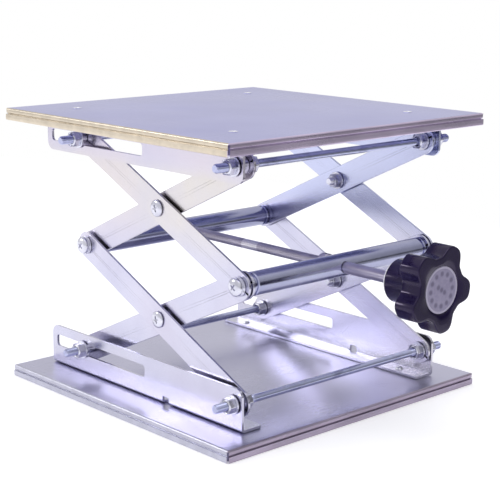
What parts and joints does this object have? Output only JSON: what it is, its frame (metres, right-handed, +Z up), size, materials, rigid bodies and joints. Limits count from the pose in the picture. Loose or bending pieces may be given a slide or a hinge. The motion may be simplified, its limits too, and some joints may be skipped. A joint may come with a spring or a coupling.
{
  "type": "lab jack",
  "caption": "Two-stage scissor lab jack: folded steel base and top plates, slotted brackets, crossed arms, crossbars and a lead screw turned by a star knob.",
  "frame": {"origin": "on the level that the jack stands on, at the middle of its whole footprint with the knob, 27.25 mm in front of the centre of the base plate", "axes": "+Z up; the knob and the front crossbar are on the -Y side; axles and crossbars run along X, the lead screw along Y"},
  "size_m": [0.2, 0.2546, 0.166],
  "materials": {
    "brushed_plate": "brushed stainless sheet, fine straight grain, soft sheen",
    "zinc_sheet": "bright zinc plated sheet, slightly cloudy",
    "chrome_bar": "bright polished plated bar",
    "axle_steel": "bright plated rod",
    "screw_steel": "oiled machined steel",
    "fastener_zinc": "zinc plated fasteners",
    "black_plastic": "moulded black phenolic, satin gloss",
    "cap_plastic": "matt grey pressed cap"
  },
  "bodies": {
    "base": {"base_plate": "brushed_plate", "lower_bracket_left": "zinc_sheet", "lower_bracket_right": "zinc_sheet", "lower_fixed_axle": "axle_steel", "lower_fixed_outer_nut_left": "fastener_zinc", "lower_fixed_outer_nut_right": "fastener_zinc", "lower_fixed_inner_nut_left": "fastener_zinc", "lower_fixed_inner_nut_right": "fastener_zinc", "lower_fixed_spacer_left": "fastener_zinc", "lower_fixed_spacer_right": "fastener_zinc"},
    "lower_outer_arms": {"lower_outer_arm_left": "zinc_sheet", "lower_outer_arm_right": "zinc_sheet", "lower_cross_screw_left": "fastener_zinc", "lower_cross_screw_right": "fastener_zinc", "lower_cross_nut_left": "fastener_zinc", "lower_cross_nut_right": "fastener_zinc"},
    "lower_inner_arms": {"lower_inner_arm_left": "zinc_sheet", "lower_inner_arm_right": "zinc_sheet", "lower_sliding_axle": "axle_steel", "lower_sliding_outer_nut_left": "fastener_zinc", "lower_sliding_outer_nut_right": "fastener_zinc", "lower_sliding_inner_nut_left": "fastener_zinc", "lower_sliding_inner_nut_right": "fastener_zinc", "lower_sliding_bush_left": "fastener_zinc", "lower_sliding_bush_right": "fastener_zinc"},
    "upper_outer_arms": {"upper_outer_arm_left": "zinc_sheet", "upper_outer_arm_right": "zinc_sheet", "upper_cross_screw_left": "fastener_zinc", "upper_cross_screw_right": "fastener_zinc", "upper_cross_nut_left": "fastener_zinc", "upper_cross_nut_right": "fastener_zinc", "upper_sliding_axle": "axle_steel", "upper_sliding_outer_nut_left": "fastener_zinc", "upper_sliding_outer_nut_right": "fastener_zinc", "upper_sliding_inner_nut_left": "fastener_zinc", "upper_sliding_inner_nut_right": "fastener_zinc", "upper_sliding_bush_left": "fastener_zinc", "upper_sliding_bush_right": "fastener_zinc"},
    "upper_inner_arms": {"upper_inner_arm_left": "zinc_sheet", "upper_inner_arm_right": "zinc_sheet"},
    "front_bar": {"front_crossbar": "chrome_bar", "front_bar_screw_left": "fastener_zinc", "front_bar_screw_right": "fastener_zinc"},
    "rear_bar": {"rear_crossbar": "chrome_bar", "rear_bar_screw_left": "fastener_zinc", "rear_bar_screw_right": "fastener_zinc"},
    "knob_and_screw": {"lead_screw": "screw_steel", "screw_collar": "screw_steel", "knob": "black_plastic", "knob_cap": "cap_plastic"},
    "top": {"top_plate": "brushed_plate", "upper_bracket_left": "zinc_sheet", "upper_bracket_right": "zinc_sheet", "upper_fixed_axle": "axle_steel", "upper_fixed_outer_nut_left": "fastener_zinc", "upper_fixed_outer_nut_right": "fastener_zinc", "upper_fixed_inner_nut_left": "fastener_zinc", "upper_fixed_inner_nut_right": "fastener_zinc", "upper_fixed_spacer_left": "fastener_zinc", "upper_fixed_spacer_right": "fastener_zinc"}
  },
  "joints": [
    {"name": "lift", "type": "hinge", "parent": "base", "child": "lower_outer_arms", "pos_m": [0, -0.05205, 0.0223], "axis": [1, 0, 0], "range_deg": [-19.2, 32.5]},
    {"name": "lower_cross", "type": "hinge", "parent": "lower_outer_arms", "child": "lower_inner_arms", "pos_m": [0, 0.0158, 0.05425], "axis": [1, 0, 0], "range_deg": [-65.5, 38.9]},
    {"name": "rear_bar_level", "type": "hinge", "parent": "lower_outer_arms", "child": "rear_bar", "pos_m": [0, 0.08366, 0.0862], "axis": [1, 0, 0], "range_deg": [-33, 19.7]},
    {"name": "rear_fold", "type": "hinge", "parent": "lower_outer_arms", "child": "upper_inner_arms", "pos_m": [0, 0.08366, 0.0862], "axis": [1, 0, 0], "range_deg": [-65.5, 38.9]},
    {"name": "front_fold", "type": "hinge", "parent": "lower_inner_arms", "child": "upper_outer_arms", "pos_m": [0, -0.05205, 0.0862], "axis": [1, 0, 0], "range_deg": [-38.9, 65.5]},
    {"name": "front_bar_level", "type": "hinge", "parent": "lower_inner_arms", "child": "front_bar", "pos_m": [0, -0.05205, 0.0862], "axis": [1, 0, 0], "range_deg": [-19.7, 33]},
    {"name": "top_level", "type": "hinge", "parent": "upper_inner_arms", "child": "top", "pos_m": [0, -0.05205, 0.1501], "axis": [1, 0, 0], "range_deg": [-19.7, 33]},
    {"name": "knob_turn", "type": "hinge", "parent": "front_bar", "child": "knob_and_screw", "pos_m": [0, -0.07275, 0.0862], "axis": [0, 1, 0], "continuous": true}
  ],
  "couplings": [
    {"joint": "lower_cross", "follows": "lift", "ratio": -2},
    {"joint": "rear_bar_level", "follows": "lift", "ratio": -1},
    {"joint": "rear_fold", "follows": "lift", "ratio": -2},
    {"joint": "front_fold", "follows": "lift", "ratio": 2},
    {"joint": "front_bar_level", "follows": "lift", "ratio": 1},
    {"joint": "top_level", "follows": "lift", "ratio": 1}
  ]
}
